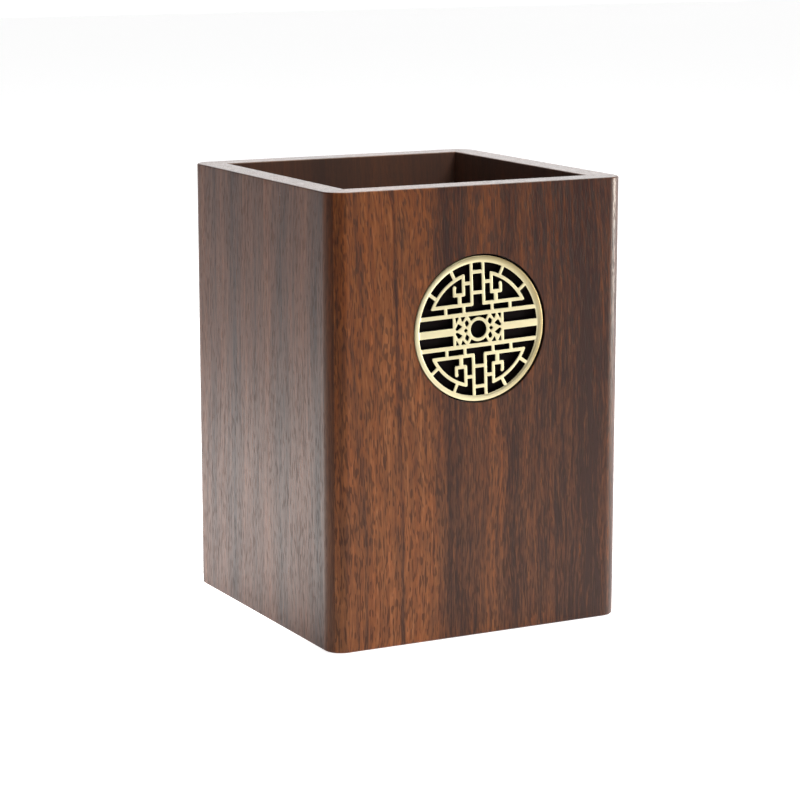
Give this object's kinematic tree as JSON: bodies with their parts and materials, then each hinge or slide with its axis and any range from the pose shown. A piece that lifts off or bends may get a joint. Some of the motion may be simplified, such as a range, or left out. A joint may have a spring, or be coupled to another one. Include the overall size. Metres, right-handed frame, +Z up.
{
  "type": "brush holder pot",
  "caption": "Square mitred walnut brush and pen pot, open at the top, with a round pierced brass lattice medallion let into the front board.",
  "frame": {"origin": "centre of the pot's flat underside, which rests on the desk", "axes": "+Z up through the open mouth; -Y is the front, with the medallion; +X to the right seen from the front"},
  "size_m": [0.08, 0.0802, 0.11],
  "materials": {
    "walnut_front": "satin oiled black walnut, grain upright, with a dark streaked band right of the middle",
    "walnut_side": "satin oiled black walnut, grain upright",
    "walnut_base": "satin oiled black walnut, grain along X",
    "brass": "pale satin brass, fine brushed",
    "backing": "matt black"
  },
  "bodies": {
    "root": {"front_panel": "walnut_front", "back_panel": "walnut_side", "left_panel": "walnut_side", "right_panel": "walnut_side", "base_panel": "walnut_base", "medallion": "brass", "medallion_backing": "backing"}
  },
  "joints": []
}
